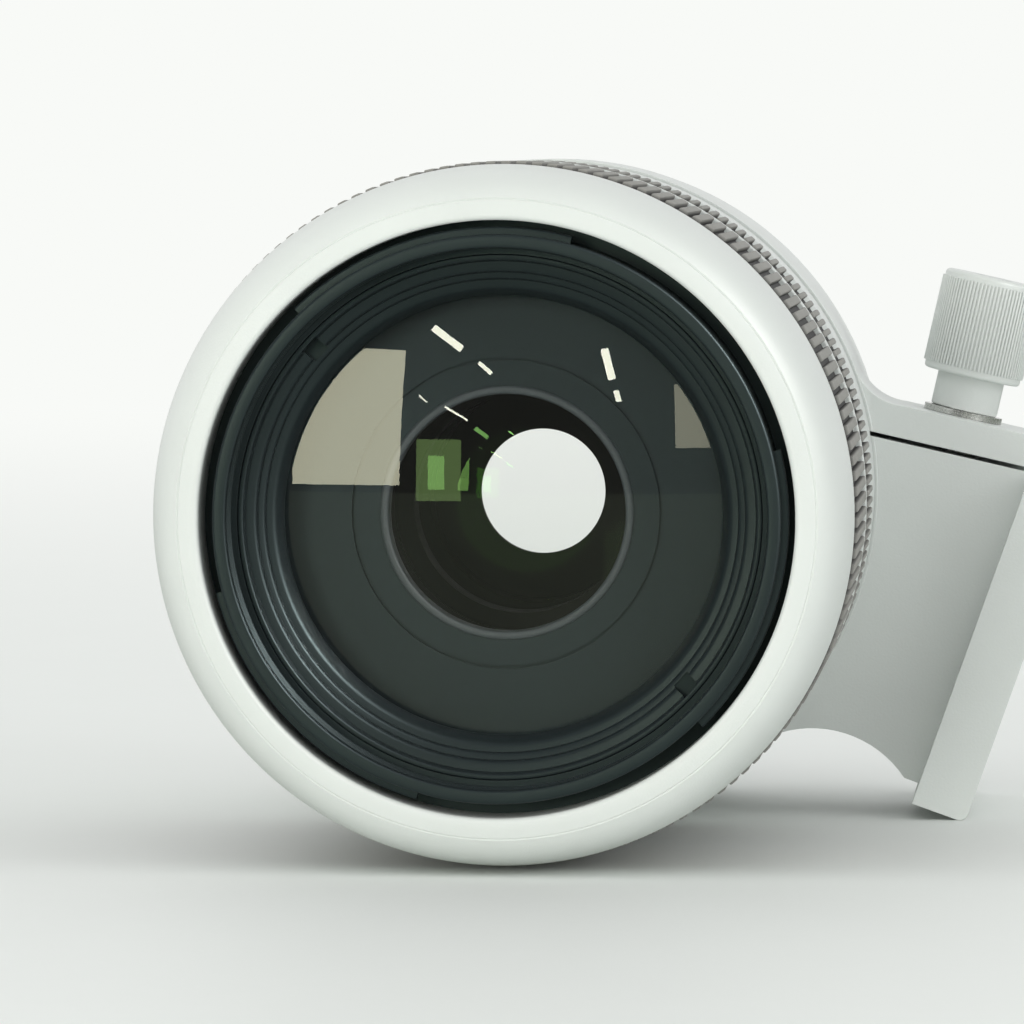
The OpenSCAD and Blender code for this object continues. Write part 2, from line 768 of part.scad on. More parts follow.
module focus_element() {
    color(glass) on_axis() element(cell_bore + 2, cell_bore, focus_group_z + cell_length - 5, 3.4, 1.2, 0.6);
}

module scale_drum() {
    color(black_paint) on_axis() tube(drum_out, drum_in, window_z - 1, window_z + window_length + 2);
}

module collar_ring() {
    tube(collar_out, collar_in, collar_rear, collar_front);
}

// Half space on one side of the slit, kept clear of it by half its width
module beside_slit(side) {
    translate([clamp_x, clamp_y, 0]) rotate([0, 0, slit_tilt])
        translate([-150, side > 0 ? slit / 2 : -150 - slit / 2, -20]) cube([300, 150, 120]);
}

// Knuckle cylinder at the strap's hinge
module knuckle(radius, from, to) {
    translate([clamp_x, clamp_y, 0]) rotate([0, 0, slit_tilt]) translate([hinge_along, 0, from])
        cylinder(r = radius, h = to - from);
}

// Clamp screw's hole through the piece, across the slit
module clamp_hole(radius, from, to) {
    translate([clamp_x, clamp_y, 0]) rotate([0, 0, slit_tilt]) translate([0, from, collar_mid])
        rotate([-90, 0, 0]) cylinder(r = radius, h = to - from);
}

// Lower part of the collar with its arm and foot plate
module collar_foot() {
    color(white_paint) on_collar() difference() {
        union() {
            intersection() {
                collar_ring();
                beside_slit(-1);
            }
            intersection() {
                difference() {
                    translate([0, -arm_half, arm_rear])
                        cube([foot_near + 0.5, 2 * arm_half + 12, arm_length]);
                    translate([0, 0, -cut]) cylinder(r = collar_in + 0.4, h = foot_length + 60);
                    translate([foot_near - 11.1, -arm_half - 12, -cut])
                        cylinder(r = 15, h = foot_length + 60);
                    translate([clamp_x, clamp_y, 0]) rotate([0, 0, slit_tilt]) translate([ear_end, -60, -cut])
                        cube([60, 120, foot_length + 60]);
                }
                beside_slit(-1);
            }
            foot_plate();
            for (from = [hinge_rear, hinge_front - knuckle_side])
                knuckle(knuckle_radius, from, from + knuckle_side);
        }
        knuckle(knuckle_radius + knuckle_gap, hinge_rear + knuckle_side, hinge_front - knuckle_side);
        knuckle(hinge_pin_radius + run_gap, collar_rear - cut, collar_front + cut);
        clamp_hole(screw_radius + screw_room, -screw_depth - 1.5, cut);
        translate([foot_far + cut, 0, foot_rear + foot_length / 2]) rotate([0, -90, 0])
            cylinder(r = insert_radius + seat_gap, h = foot_thick - 0.8 + cut);
    }
}

// Foot plate with its two long outer edges rounded
module foot_plate() {
    steps = 5;
    translate([0, 0, foot_rear]) linear_extrude(foot_length) polygon(concat(
        [[foot_near, foot_width / 2], [foot_near, -foot_width / 2]],
        [for (side = [-1, 1], i = [0:steps]) let (a = 45 * (side - 1) + 90 * i / steps)
            [corner_x, side * corner_y] + foot_round * [cos(a), sin(a)]]
    ));
}

// Strap that closes the collar, with the clamp ear and the hollow that blends it into the ring
module collar_strap() {
    bite = 0.06;
    wall_mid = (collar_in + collar_out) / 2;
    centre = [axis_along, axis_across];
    ear_mid = ear_thick / 2;
    hollow_across = ear_thick + ear_fillet - bite;
    ring_reach = collar_out + ear_fillet - bite;
    hollow = [axis_along + sqrt(pow(ring_reach, 2) - pow(hollow_across - axis_across, 2)), hollow_across];
    root = [axis_along + sqrt(pow(wall_mid, 2) - pow(ear_mid - axis_across, 2)), ear_mid];
    crown = centre + (hollow - centre) * wall_mid / norm(hollow - centre);
    color(white_paint) on_collar() difference() {
        union() {
            intersection() {
                collar_ring();
                beside_slit(1);
            }
            difference() {
                translate([clamp_x, clamp_y, arm_rear]) rotate([0, 0, slit_tilt]) {
                    translate([root[0] - 3, slit / 2, 0])
                        cube([ear_end - root[0] + 3, ear_thick - slit / 2, arm_length]);
                    linear_extrude(arm_length) polygon([[hollow[0], ear_mid], hollow, crown, root]);
                }
                translate([0, 0, -cut]) cylinder(r = collar_in + 0.4, h = collar_front + 2 * cut);
            }
            knuckle(knuckle_radius, hinge_rear + knuckle_side + knuckle_gap,
                hinge_front - knuckle_side - knuckle_gap);
        }
        translate([clamp_x, clamp_y, -cut]) rotate([0, 0, slit_tilt]) translate(hollow)
            cylinder(r = ear_fillet, h = collar_front + 3 * cut);
        for (span = [[collar_rear - cut, hinge_rear + knuckle_side + knuckle_gap],
            [hinge_front - knuckle_side - knuckle_gap, collar_front + cut]])
            knuckle(knuckle_radius + knuckle_gap, span[0], span[1]);
        knuckle(hinge_pin_radius + run_gap, collar_rear - cut, collar_front + cut);
        clamp_hole(screw_radius + 0.3, -cut, ear_thick + cut);
    }
}

module hinge_pin() {
    color(steel) on_collar() knuckle(hinge_pin_radius, hinge_rear, hinge_front);
}

module socket_insert() {
    color(steel) on_collar() translate([foot_far - 0.1, 0, foot_rear + foot_length / 2]) rotate([0, -90, 0])
        difference() {
            cylinder(r = insert_radius, h = foot_thick - 0.9);
            translate([0, 0, -cut]) cylinder(r = tripod_thread_radius, h = foot_thick + 2 * cut);
        }
}

module clamp_washer() {
    color(steel) at_slit() translate([0, ear_thick + seat_gap, collar_mid]) rotate([-90, 0, 0])
        tube(washer_radius, screw_radius + 0.3, 0, washer_thick);
}

// Knurled knob on a narrower neck
module clamp_knob() {
    neck = ear_thick + 2 * seat_gap + washer_thick;
    color(white_paint) at_slit() translate([0, neck, collar_mid]) rotate([-90, 0, 0]) difference() {
        union() {
            cylinder(r = neck_radius, h = neck_height + cut);
            translate([0, 0, neck_height]) cylinder(r = knob_radius - 0.3, h = knob_height);
            ribbed(knob_ribs, knob_radius, 0.3, 0.6, neck_height + 0.7, neck_height + knob_height - 0.7);
        }
        translate([0, 0, -cut]) cylinder(r = screw_radius + seat_gap, h = neck_height + cut + 3);
    }
}

module clamp_screw() {
    top = ear_thick + washer_thick + neck_height + 2.9;
    color(steel) at_slit() translate([0, -screw_depth, collar_mid]) rotate([-90, 0, 0])
        cylinder(r = screw_radius, h = screw_depth + top);
}

rear_barrel();
guide_barrel();
middle_ring();
inner_barrel();
guide_rods();
iris_housing();
stabiliser_base();
rear_cell();
rear_element();
bayonet_mount();
mount_screws();
mount_gasket();
contact_block();
contact_pins();
circuit_board();
focus_motor();
distance_window();
switch_panel();
front_cowl();
filter_ring();
front_retaining_ring();
front_element();
front_cell();
extension_tube();
cam_rollers();
zoom_sleeve();
zoom_grip();
cam_tube();
zoom_key();
variator_cell();
variator_element();
focus_sleeve();
focus_grip();
focus_cell();
focus_element();
scale_drum();
stabiliser_frame();
stabiliser_cell();
stabiliser_element();
iris_drive_ring();
for (i = [1:BLADES])
    iris_blade(i);
slide_switch(1);  // focus_switch
slide_switch(0);  // stabiliser_switch
slide_switch(-1);  // mode_switch
collar_foot();
collar_strap();
hinge_pin();
socket_insert();
clamp_washer();
clamp_knob();
clamp_screw();
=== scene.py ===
"""Looks of a telephoto zoom lens with a tripod collar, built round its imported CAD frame."""

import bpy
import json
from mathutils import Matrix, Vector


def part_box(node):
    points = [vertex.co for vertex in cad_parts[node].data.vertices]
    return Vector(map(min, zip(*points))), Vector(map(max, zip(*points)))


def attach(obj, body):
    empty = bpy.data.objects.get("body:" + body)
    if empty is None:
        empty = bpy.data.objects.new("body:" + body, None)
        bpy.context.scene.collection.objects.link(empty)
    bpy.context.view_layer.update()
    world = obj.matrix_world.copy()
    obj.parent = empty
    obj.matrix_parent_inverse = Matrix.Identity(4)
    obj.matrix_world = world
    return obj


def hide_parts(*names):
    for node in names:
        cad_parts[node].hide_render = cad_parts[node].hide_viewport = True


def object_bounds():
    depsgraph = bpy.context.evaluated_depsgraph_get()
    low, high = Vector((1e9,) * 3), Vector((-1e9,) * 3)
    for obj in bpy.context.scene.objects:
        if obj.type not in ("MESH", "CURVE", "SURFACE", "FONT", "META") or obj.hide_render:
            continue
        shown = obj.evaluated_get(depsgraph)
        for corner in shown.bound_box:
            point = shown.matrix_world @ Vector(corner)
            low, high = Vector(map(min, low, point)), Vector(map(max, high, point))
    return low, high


bl_info = {
    "name": "Telephoto zoom lens",
    "version": (1, 0, 0),
    "blender": (4, 5, 0),
    "location": "3D View > Sidebar > Lens",
    "description": "Dresses the lens frame with shells, grips, glass and finishes",
    "category": "Object",
}

import json
import math

import bmesh
import bpy
from mathutils import Matrix, Vector

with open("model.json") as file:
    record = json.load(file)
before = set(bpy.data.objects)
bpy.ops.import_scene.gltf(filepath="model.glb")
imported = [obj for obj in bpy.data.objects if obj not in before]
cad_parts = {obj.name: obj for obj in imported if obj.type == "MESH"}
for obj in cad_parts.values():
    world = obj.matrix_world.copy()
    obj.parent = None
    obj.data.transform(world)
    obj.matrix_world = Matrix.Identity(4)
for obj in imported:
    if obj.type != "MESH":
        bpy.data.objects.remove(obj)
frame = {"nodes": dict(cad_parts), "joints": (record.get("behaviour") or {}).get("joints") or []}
CAD_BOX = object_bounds()
MM = 0.001
FRONT_DOME = 3.0  # Rise of the front glass over its rim, in millimetres
INK_HEIGHT = 0.02  # Height of printed ink over its surface, in millimetres
VIEW_SPREAD = 3.0  # How much wider the view is at a mirrored lamp than at the front glass


# Places on the lens

def rear_of(node):
    """Station of a node's rear end, in millimetres forward of the camera flange."""
    return -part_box(node)[1].y / MM


def front_of(node):
    """Station of a node's front end, in millimetres forward of the camera flange."""
    return -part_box(node)[0].y / MM


def radius_of(node):
    """Outer radius of a round node, in millimetres."""
    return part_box(node)[1].z / MM


def on_ring(radius, station, turn=0.0):
    """Point at a radius and station in millimetres, turned from +X towards +Z by an angle in radians."""
    return Vector((radius * math.cos(turn), -station, radius * math.sin(turn))) * MM


# Settings that a user would change

def length(name, about, value):
    """Length property in metres, from a default in millimetres."""
    return bpy.props.FloatProperty(
        name=name, description=about, default=value * MM, unit="LENGTH", precision=5
    )


def tally(name, about, value):
    """Property that counts steps or ribs round a ring."""
    return bpy.props.IntProperty(name=name, description=about, default=value, min=12)


def colour(name, about, value):
    """Colour property in linear light."""
    return bpy.props.FloatVectorProperty(
        name=name, description=about, default=value, subtype="COLOR", size=3, min=0.0, max=1.0
    )


class LensSizes(bpy.types.PropertyGroup):
    """Sizes of the modelled detail"""

    ring_steps: tally("Ring steps", "Steps round a turned ring", 256)
    zoom_ribs: tally("Zoom ribs", "Ribs round the zoom grip", 142)
    focus_ribs: tally("Focus ribs", "Ribs round the focus grip", 190)
    knob_ribs: tally("Knob ribs", "Ribs round the clamp knob", 84)
    rib_height: length("Rib height", "Height of a grip rib", 0.8)
    thread_pitch: length("Thread pitch", "Pitch of the filter thread", 0.75)
    edge_round: length("Edge rounding", "Rounding of the collar's edges", 0.45)


class LensFinishes(bpy.types.PropertyGroup):
    """Colours of the finishes"""

    paint: colour("Paint", "Off-white paint of the casing", (0.66, 0.69, 0.67))
    rubber: colour("Rubber", "Dusty rubber of the grips", (0.27, 0.265, 0.245))
    anodised: colour("Anodised black", "Front rings", (0.010, 0.0145, 0.0165))
    matt_black: colour("Matt black", "Inner cells and barrels", (0.0032, 0.0034, 0.0032))
    mask: colour("Mask", "Slate mask behind the front glass", (0.017, 0.0205, 0.0215))
    plastic: colour("Black plastic", "Switch panel and contacts", (0.02, 0.02, 0.021))
    glass: colour("Glass", "Clear glass", (0.996, 0.998, 0.996))
    green_coating: colour("Green coating", "Coating of the variator lens", (0.35, 0.75, 0.2))
    amber_coating: colour("Amber coating", "Coating of the focus and rear lenses", (0.7, 0.42, 0.26))


class LensStage(bpy.types.PropertyGroup):
    """Camera, floor and light"""

    camera_place: bpy.props.FloatVectorProperty(
        name="Camera", description="Place of the camera", default=(0.0737, -1.0388, 0.0450), unit="LENGTH",
        size=3,
    )
    camera_yaw: bpy.props.FloatProperty(
        name="Camera yaw", description="Turn of the view from +Y towards -X", default=math.asin(0.0797),
        unit="ROTATION",
    )
    camera_dip: bpy.props.FloatProperty(
        name="Camera dip", description="How far the view looks down", default=math.asin(0.0489),
        unit="ROTATION",
    )
    focal_length: bpy.props.FloatProperty(
        name="Focal length", description="Focal length of the camera, in millimetres", default=255.7
    )
    floor: colour("Floor", "Pale table", (0.82, 0.845, 0.825))
    # Painted reflection of the table: a fixed glowing colour that glossy rays see
    table_painted_reflection: colour("Mirrored table", "Table as the glass mirrors it", (0.27, 0.30, 0.255))
    backdrop: colour("Backdrop", "Background", (0.94, 0.955, 0.93))
    room: bpy.props.FloatProperty(
        name="Room", description="Light from the side of the camera, beside 1 from the backdrop",
        default=0.12, min=0,
    )
    ambient: colour("Ambient", "Even light on the lens", (0.88, 0.89, 0.88))


# Building blocks for meshes

def rounded_outline(corners):
    """Flat face in the plane of radius and station. A corner is radius, station and perhaps a rounding."""
    bm = bmesh.new()
    rounding = bm.verts.layers.float.new("rounding")
    for corner in corners:
        v = bm.verts.new(on_ring(corner[0], corner[1]))
        v[rounding] = corner[2] if len(corner) > 2 else 0.0
    bm.faces.new(bm.verts)
    for size in sorted({c[2] for c in corners if len(c) > 2}):
        picked = [v for v in bm.verts if abs(v[rounding] - size) < 1e-6]
        bmesh.ops.bevel(
            bm, geom=picked, offset=size * MM, segments=4, profile=0.5, affect="VERTICES", material=-1
        )
    return bm


def closed(bm):
    """The mesh with its doubles merged and its faces pointing outwards."""
    bmesh.ops.remove_doubles(bm, verts=bm.verts, dist=1e-7)
    bmesh.ops.recalc_face_normals(bm, faces=bm.faces)
    return bm


def turned(corners, steps=None):
    """Ring turned about the lens axis from a closed outline."""
    bm = rounded_outline(corners)
    bmesh.ops.delete(bm, geom=bm.faces[:], context="FACES_ONLY")
    bmesh.ops.spin(
        bm, geom=bm.verts[:] + bm.edges[:], cent=(0, 0, 0), axis=(0, 1, 0), dvec=(0, 0, 0), angle=math.tau,
        steps=steps or bpy.context.scene.lens_sizes.ring_steps, use_merge=True,
    )
    return closed(bm)


def sector(corners, start, turn):
    """Part of a ring, from a closed outline swept between two angles in degrees."""
    bm = rounded_outline(corners)
    bmesh.ops.rotate(bm, verts=bm.verts, cent=(0, 0, 0), matrix=Matrix.Rotation(-math.radians(start), 3, "Y"))
    bmesh.ops.spin(
        bm, geom=bm.verts[:] + bm.edges[:] + bm.faces[:], cent=(0, 0, 0), axis=(0, -1, 0), dvec=(0, 0, 0),
        angle=math.radians(turn), steps=24,
    )
    return closed(bm)


def block(low, high, soft=0.0):
    """Box between two corners in millimetres, with its edges rounded."""
    bm = bmesh.new()
    bmesh.ops.create_cube(bm, size=1.0)
    size = Vector(high) - Vector(low)
    bmesh.ops.scale(bm, verts=bm.verts, vec=size * MM)
    bmesh.ops.translate(bm, verts=bm.verts, vec=(Vector(high) + Vector(low)) / 2 * MM)
    if soft:
        bmesh.ops.bevel(
            bm, geom=bm.edges[:], offset=soft * MM, segments=2, profile=0.5, affect="EDGES", material=-1
        )
    return bm


def ribbed(count, floor, height, share, rear, front, lip, inner, soft=0.18):
    """Ring about the lens axis with raised ribs between two plain lips, closed by an inner wall."""
    bm = bmesh.new()
    bmesh.ops.create_grid(bm, x_segments=3, y_segments=3, size=1.5)
    rib = min(bm.faces, key=lambda f: f.calc_center_median().length)
    pitch = math.tau / count
    turns = (0.0, (1 - share) / 2 * pitch, (1 + share) / 2 * pitch, pitch)
    places = (rear, rear + lip, front - lip, front)
    for v in bm.verts:
        v.co = on_ring(floor, places[round(v.co.y + 1.5)], turns[round(v.co.x + 1.5)])
    top = bmesh.ops.extrude_discrete_faces(bm, faces=[rib])["faces"][0]
    for v in top.verts:
        v.co += Vector((v.co.x, 0, v.co.z)).normalized() * height * MM
    bmesh.ops.bevel(
        bm, geom=top.edges[:], offset=soft * MM, segments=2, profile=0.5, affect="EDGES", material=-1
    )
    bmesh.ops.spin(
        bm, geom=bm.verts[:] + bm.edges[:] + bm.faces[:], cent=(0, 0, 0), axis=(0, 1, 0), dvec=(0, 0, 0),
        angle=pitch * (count - 1), steps=count - 1, use_duplicate=True,
    )
    bmesh.ops.remove_doubles(bm, verts=bm.verts, dist=1e-6)
    rims = bmesh.ops.extrude_edge_only(bm, edges=[e for e in bm.edges if e.is_boundary])["geom"]
    for v in (x for x in rims if isinstance(x, bmesh.types.BMVert)):
        out = Vector((v.co.x, 0, v.co.z)).normalized() * inner * MM
        v.co = Vector((out.x, v.co.y, out.z))
    bmesh.ops.bridge_loops(bm, edges=[e for e in bm.edges if e.is_boundary])
    return closed(bm)


def lens(rim, rear, edge, front_dome, rear_dome):
    """Solid lens: rim radius, station of its rear edge, edge thickness and the rise of both faces."""
    bm = bmesh.new()
    steps = 24

    def rise(dome, at):
        ball = (rim * rim + dome * dome) / (2 * dome)
        return math.sqrt(ball * ball - at * at) - ball + dome

    radii = [rim * i / steps for i in range(steps + 1)]
    line = [bm.verts.new(on_ring(r, rear - rise(rear_dome, r))) for r in radii]
    line += [bm.verts.new(on_ring(r, rear + edge + rise(front_dome, r))) for r in reversed(radii)]
    for a, b in zip(line, line[1:]):
        bm.edges.new((a, b))
    bmesh.ops.spin(
        bm, geom=bm.verts[:] + bm.edges[:], cent=(0, 0, 0), axis=(0, 1, 0), dvec=(0, 0, 0), angle=math.tau,
        steps=128, use_merge=True,
    )
    closed(bm)
    for face in bm.faces:
        face.material_index = 0 if face.normal.y < -0.5 else 1
    return bm


def softened(node, soft):
    """Copy of a CAD piece with its hard edges rounded, the rounding in millimetres."""
    sharp = math.radians(32)
    bm = bmesh.new()
    bm.from_mesh(frame["nodes"][node].data)
    bmesh.ops.remove_doubles(bm, verts=bm.verts, dist=2e-6)
    bmesh.ops.dissolve_limit(bm, angle_limit=math.radians(0.5), verts=bm.verts, edges=bm.edges)
    hard = [e for e in bm.edges if len(e.link_faces) == 2 and e.calc_face_angle(0.0) > sharp]
    bmesh.ops.bevel(
        bm, geom=hard, offset=soft * MM, segments=2, profile=0.5, affect="EDGES", material=-1,
        clamp_overlap=True,
    )
    return bm


def merged(*meshes):
    """One mesh from several."""
    whole = meshes[0]
    for part in meshes[1:]:
        loose = bpy.data.meshes.new("loose")
        part.to_mesh(loose)
        part.free()
        whole.from_mesh(loose)
        bpy.data.meshes.remove(loose)
    return whole


def carved(bm, *cutters):
    """The mesh with other meshes cut out of it."""
    objects = []
    for part in (bm, *cutters):
        mesh = bpy.data.meshes.new("carving")
        part.to_mesh(mesh)
        part.free()
        objects.append(bpy.data.objects.new("carving", mesh))
        bpy.context.scene.collection.objects.link(objects[-1])
    for cutter in objects[1:]:
        cut = objects[0].modifiers.new("cut", "BOOLEAN")
        cut.operation = "DIFFERENCE"
        cut.solver = "EXACT"
        cut.object = cutter
    result = bmesh.new()
    result.from_object(objects[0], bpy.context.evaluated_depsgraph_get())
    for o in objects:
        bpy.data.meshes.remove(o.data)
    return result


def piece(name, bm, surfaces, body, slot, *nodes, sharp=35):
    """Finished object of a mesh, riding on a body and standing for CAD nodes."""
    mesh = bpy.data.meshes.new(name)
    if not isinstance(surfaces, tuple):
        for face in bm.faces:
            face.material_index = 0
        surfaces = (surfaces,)
    bm.to_mesh(mesh)
    bm.free()
    mesh.shade_smooth()
    mesh.set_sharp_from_angle(angle=math.radians(sharp))
    for surface in surfaces:
        mesh.materials.append(surface)
    made = bpy.data.objects.new(name, mesh)
    bpy.context.scene.collection.objects.link(made)
    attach(made, body)
    if nodes:
        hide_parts(*nodes)


# Building blocks for finishes

def add(tree, kind, inputs=None, **settings):
    """Shader node with its settings. An input is a plain value or the output of another node."""
    node = tree.nodes.new("ShaderNode" + kind)
    for name, value in settings.items():
        setattr(node, name, value)
    for name, value in (inputs or {}).items():
        if isinstance(value, bpy.types.NodeSocket):
            tree.links.new(value, node.inputs[name])
        else:
            node.inputs[name].default_value = value
    return node


def rgba(tint, light=1.0):
    """Colour of four parts, made lighter or darker by a factor."""
    return tuple(min(c * light, 1.0) for c in tint) + (1.0,)


def place_on(tree):
    """Place on the piece, in metres."""
    return add(tree, "TexCoord").outputs["Object"]


def noise(tree, scale, detail=2.0, at=None):
    """Noise with a number of grains to the metre."""
    where = at or place_on(tree)
    return add(tree, "TexNoise", {"Vector": where, "Scale": scale, "Detail": detail}).outputs["Fac"]


def between(tree, value, low, high):
    """A value from 0 to 1 spread between two others."""
    return add(tree, "MapRange", {"Value": value, "To Min": low, "To Max": high}).outputs["Result"]


def ramp(tree, value, start, end):
    """A value from start to end spread from 0 to 1."""
    spread = {"Value": value, "From Min": start, "From Max": end}
    return add(tree, "MapRange", spread, interpolation_type="SMOOTHSTEP").outputs["Result"]


def blend(tree, value, first, second):
    """Mix of two colours."""
    node = tree.nodes.new("ShaderNodeMix")
    node.data_type = "RGBA"
    tree.links.new(value, node.inputs["Factor"])
    for socket, tint in ((node.inputs[6], first), (node.inputs[7], second)):
        if isinstance(tint, bpy.types.NodeSocket):
            tree.links.new(tint, socket)
        else:
            socket.default_value = tint
    return node.outputs[2]


def bump(tree, height, depth, strength):
    """Surface relief of a depth in millimetres."""
    relief = {"Height": height, "Distance": depth * MM, "Strength": strength}
    return add(tree, "Bump", relief).outputs["Normal"]


def axis_radius(tree):
    """Distance from the lens axis, in metres."""
    across = {0: place_on(tree), 1: (1.0, 0.0, 1.0)}
    flat = add(tree, "VectorMath", across, operation="MULTIPLY").outputs["Vector"]
    return add(tree, "VectorMath", {0: flat}, operation="LENGTH").outputs["Value"]


def finish(name, build):
    """Material of a name, made once, whose build gets the node tree and gives the surface shader."""
    made = bpy.data.materials.get(name)
    if not made:
        made = bpy.data.materials.new(name)
        made.use_nodes = True
        tree = made.node_tree
        tree.nodes.clear()
        surface = build(tree)
        add(tree, "OutputMaterial", {"Surface": surface})
    return made


def coated(tree, base, roughness, normal=None, **others):
    """Principled surface."""
    inputs = {"Base Color": base, "Roughness": roughness}
    inputs.update({name.replace("_", " "): value for name, value in others.items()})
    if normal:
        inputs["Normal"] = normal
    return add(tree, "BsdfPrincipled", inputs).outputs["BSDF"]


# Finishes

def white_paint():
    """Off-white crinkle paint of the casing."""
    def build(tree):
        tint = bpy.context.scene.lens_finishes.paint
        wear = noise(tree, 60.0, 4.0)
        crinkle = noise(tree, 3200.0, 3.0)
        return coated(
            tree, blend(tree, wear, rgba(tint, 0.95), rgba(tint, 1.04)), between(tree, crinkle, 0.34, 0.56),
            bump(tree, crinkle, 0.05, 0.5),
        )
    return finish("Off-white crinkle paint", build)


def slate_black():
    """Anodised black of the front rings."""
    def build(tree):
        tint = bpy.context.scene.lens_finishes.anodised
        grain = noise(tree, 5000.0, 2.0)
        wear = noise(tree, 90.0, 3.0)
        return coated(
            tree, blend(tree, wear, rgba(tint, 0.8), rgba(tint, 1.25)), between(tree, grain, 0.32, 0.5),
            bump(tree, grain, 0.015, 0.4), Specular_Tint=(0.80, 1.0, 1.0, 1.0),
        )
    return finish("Slate anodised black", build)


def matt_black():
    """Matt black of the cells and the inner barrels."""
    def build(tree):
        tint = bpy.context.scene.lens_finishes.matt_black
        grain = noise(tree, 3500.0, 3.0)
        return coated(
            tree, blend(tree, grain, rgba(tint, 0.7), rgba(tint, 1.4)), between(tree, grain, 0.6, 0.8),
            bump(tree, grain, 0.02, 0.2),
        )
    return finish("Matt black paint", build)


def slate_mask():
    """Smooth slate paint of the mask behind the front glass."""
    def build(tree):
        tint = bpy.context.scene.lens_finishes.mask
        grain = noise(tree, 2500.0, 3.0)
        return coated(
            tree, blend(tree, grain, rgba(tint, 0.92), rgba(tint, 1.08)), between(tree, grain, 0.42, 0.55),
            bump(tree, grain, 0.01, 0.12), Specular_Tint=(0.62, 0.85, 0.92, 1.0),
        )
    return finish("Slate mask paint", build)


def dusty_rubber_with_painted_shade(name, floor, top):
    """Grip rubber, dusty on its ribs, with painted shade in its grooves, between two radii in millimetres."""
    def build(tree):
        tint = bpy.context.scene.lens_finishes.rubber
        dust = noise(tree, 700.0, 5.0)
        # Painted shade: the colour falls to 8 per cent of the rubber at the groove floor radius
        groove_shade_ramp = ramp(tree, axis_radius(tree), floor * MM, top * MM)
        ribs = blend(tree, dust, rgba(tint, 0.8), rgba(tint, 1.25))
        return coated(
            tree, blend(tree, groove_shade_ramp, rgba(tint, 0.08), ribs), between(tree, dust, 0.55, 0.8),
            bump(tree, noise(tree, 2600.0, 3.0), 0.04, 0.5),
        )
    return finish(name, build)


def glass(name, tint, share):
    """Coated glass: clear, with a tinted reflection."""
    def build(tree):
        streak = noise(tree, 25.0, 1.0)
        clear = add(tree, "BsdfTransparent", {"Color": rgba(bpy.context.scene.lens_finishes.glass)})
        coat = blend(tree, streak, rgba(tint, 0.85), rgba(tint))
        shine = add(tree, "BsdfGlossy", {"Color": coat, "Roughness": 0.0})
        facing = add(tree, "LayerWeight", {"Blend": 0.12}).outputs["Fresnel"]
        amount = between(tree, facing, share, 1.0)
        return add(
            tree, "MixShader", {0: amount, 1: clear.outputs["BSDF"], 2: shine.outputs["BSDF"]}
        ).outputs["Shader"]
    return finish(name, build)


def turned_metal(name, tint, low, high):
    """Bare metal with fine turning rings about the lens axis."""
    def build(tree):
        rings = noise(tree, 9000.0, 2.0, add(tree, "CombineXYZ", {0: axis_radius(tree)}).outputs["Vector"])
        return coated(
            tree, blend(tree, rings, rgba(tint, 0.86), rgba(tint)), between(tree, rings, low, high),
            bump(tree, rings, 0.004, 0.4), Metallic=1.0,
        )
    return finish(name, build)


def plain_metal(name, tint, low, high):
    """Bare metal with a fine grain."""
    def build(tree):
        grain = noise(tree, 2500.0, 3.0)
        return coated(
            tree, blend(tree, grain, rgba(tint, 0.85), rgba(tint)), between(tree, grain, low, high),
            bump(tree, grain, 0.01, 0.3), Metallic=1.0,
        )
    return finish(name, build)


def bare_steel():
    """Steel of pins, screws and rods."""
    return plain_metal("Bare steel", (0.62, 0.62, 0.60), 0.2, 0.35)


def black_plastic():
    """Grained black plastic."""
    def build(tree):
        tint = bpy.context.scene.lens_finishes.plastic
        grain = noise(tree, 4000.0, 3.0)
        return coated(
            tree, blend(tree, grain, rgba(tint, 0.8), rgba(tint, 1.2)), between(tree, grain, 0.35, 0.6),
            bump(tree, grain, 0.03, 0.5),
        )
    return finish("Grained black plastic", build)


def circuit():
    """Green board with copper tracks under its lacquer."""
    def build(tree):
        tracks = add(tree, "TexBrick", {
            "Vector": place_on(tree), "Scale": 400.0, "Mortar Size": 0.06, "Mortar": (0.10, 0.22, 0.06, 1),
            "Color1": (0.012, 0.09, 0.03, 1), "Color2": (0.02, 0.13, 0.045, 1),
        }).outputs["Color"]
        return coated(tree, tracks, between(tree, noise(tree, 900.0), 0.25, 0.45))
    return finish("Lacquered circuit board", build)


def ink(name, tint):
    """Printed marking."""
    def build(tree):
        grain = noise(tree, 3000.0, 2.0)
        return coated(tree, blend(tree, grain, rgba(tint, 0.85), rgba(tint)), between(tree, grain, 0.45, 0.6))
    return finish(name, build)


def white_ink():
    """White ink of the numbers and the switch marks."""
    return ink("White marking ink", (0.85, 0.85, 0.8))


# Pieces

def dress(surface, *nodes):
    """Finish on CAD pieces that keep their own shape."""
    for node in nodes:
        data = frame["nodes"][node].data
        data.materials.clear()
        data.materials.append(surface)


def lettering(text, size):
    """Flat mesh of a text round the origin, its height in millimetres."""
    curve = bpy.data.curves.new("lettering", "FONT")
    curve.body = text
    curve.size = size * MM
    curve.align_x = "CENTER"
    curve.align_y = "CENTER"
    curve.resolution_u = 3
    holder = bpy.data.objects.new("lettering", curve)
    bpy.context.scene.collection.objects.link(holder)
    shown = holder.evaluated_get(bpy.context.evaluated_depsgraph_get())
    bm = bmesh.new()
    bm.from_mesh(shown.to_mesh())
    shown.to_mesh_clear()
    bpy.data.curves.remove(curve)
    return bm


